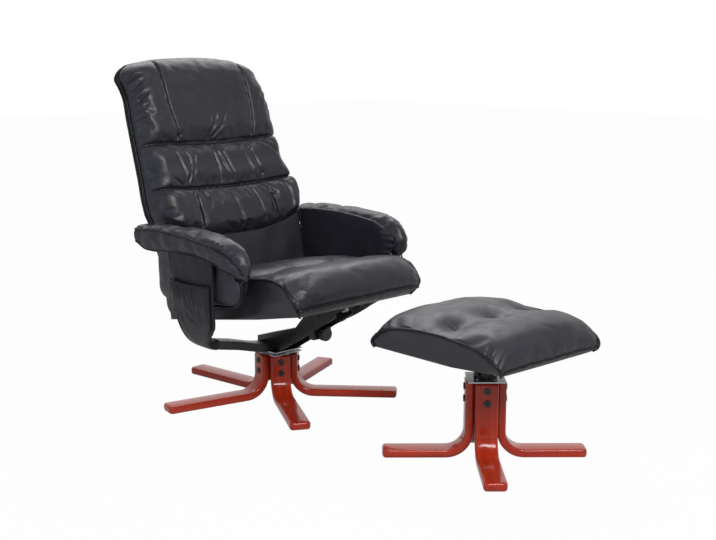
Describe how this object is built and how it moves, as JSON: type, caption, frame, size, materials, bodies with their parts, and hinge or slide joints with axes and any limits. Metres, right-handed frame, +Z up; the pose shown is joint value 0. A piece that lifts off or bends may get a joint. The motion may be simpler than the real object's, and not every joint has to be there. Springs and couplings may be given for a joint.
{
  "type": "reflexology chair",
  "caption": "Swivel recliner for foot treatments with padded arms, a reclining back, a sliding seat, a bentwood star base and a matching footstool.",
  "frame": {"origin": "on the floor at the middle of the whole set's box, chair and footstool together", "axes": "+Z up, -Y is where the sitter faces and where the footstool stands, +X is the sitter's left"},
  "size_m": [0.714, 1.4313, 0.9927],
  "materials": {
    "leather": "soft charcoal faux leather with a fine grain",
    "leather_dark": "charcoal faux leather on the rear shell and sleeves",
    "wood": "glossy cherry stained bentwood",
    "black_steel": "satin black paint on steel",
    "zinc": "bright zinc plate",
    "plywood": "raw plywood",
    "black_plastic": "black moulded plastic",
    "black_cloth": "thin black lining cloth"
  },
  "bodies": {
    "base": {"base_hub": "wood", "base_leg_1": "wood", "base_leg_2": "wood", "base_leg_3": "wood", "base_leg_4": "wood", "base_leg_5": "wood", "base_leg_bolts": "black_steel", "base_leg_sleeves": "zinc", "base_glides": "black_plastic", "swivel_lower_plate": "zinc", "swivel_balls": "zinc", "swivel_pin": "zinc", "swivel_plate_screws": "black_steel"},
    "frame": {"swivel_upper_plate": "zinc", "steel_bow": "black_steel", "chassis": "black_steel", "guide_plate": "black_steel", "guide_block": "black_plastic", "arm_pad_left": "leather", "arm_pad_right": "leather", "arm_panel_left": "leather", "arm_panel_right": "leather", "arm_board_left": "plywood", "arm_board_right": "plywood", "arm_sleeve_left": "leather_dark", "arm_sleeve_right": "leather_dark", "magazine_pocket_left": "leather_dark", "magazine_pocket_right": "leather_dark", "arm_pivot_plates": "black_steel", "arm_bolts": "black_steel", "pivot_pins": "zinc"},
    "back": {"back_cushion": "leather", "back_shell": "leather_dark", "back_board": "plywood", "back_brackets": "black_steel", "link_pins": "zinc"},
    "seat": {"seat_board": "plywood", "seat_cushion": "leather", "seat_dust_cover": "black_cloth", "seat_rails": "black_steel", "seat_side_plates": "black_steel", "hold_down_bar": "black_steel", "seat_stops": "zinc"},
    "knob": {"lock_knob": "black_plastic", "lock_spindle": "zinc"},
    "clamp": {"clamp_block": "zinc"},
    "stool": {"stool_hub": "wood", "stool_leg_1": "wood", "stool_leg_2": "wood", "stool_leg_3": "wood", "stool_leg_4": "wood", "stool_leg_bolts": "black_steel", "stool_leg_sleeves": "zinc", "stool_glides": "black_plastic", "stool_plate": "zinc", "stool_post": "black_steel", "stool_board": "plywood", "stool_cushion": "leather", "stool_dust_cover": "black_cloth", "stool_screws": "zinc"}
  },
  "joints": [
    {"name": "swivel", "type": "hinge", "parent": "base", "child": "frame", "pos_m": [0, 0.27734, 0.14], "axis": [0, 0, 1], "continuous": true},
    {"name": "recline", "type": "hinge", "parent": "frame", "child": "back", "pos_m": [0, 0.46234, 0.455], "axis": [-1, 0, 0], "range_deg": [0, 25]},
    {"name": "seat_slide", "type": "slide", "parent": "frame", "child": "seat", "axis": [0, -0.9857, 0.1685], "range_m": [0, 0.056]},
    {"name": "knob_turn", "type": "hinge", "parent": "frame", "child": "knob", "pos_m": [0, 0.06634, 0.223], "axis": [0, 1, 0], "range_deg": [0, 540]},
    {"name": "clamp_slide", "type": "slide", "parent": "frame", "child": "clamp", "axis": [0, 1, 0], "range_m": [0, 0.00225]},
    {"name": "stool_slide", "type": "slide", "parent": "base", "child": "stool", "axis": [0, -1, 0], "range_m": [0, 0.4]}
  ],
  "couplings": [
    {"joint": "seat_slide", "follows": "recline", "m_per_rad": 0.1277},
    {"joint": "knob_turn", "follows": "clamp_slide", "rad_per_m": 4188.8}
  ]
}
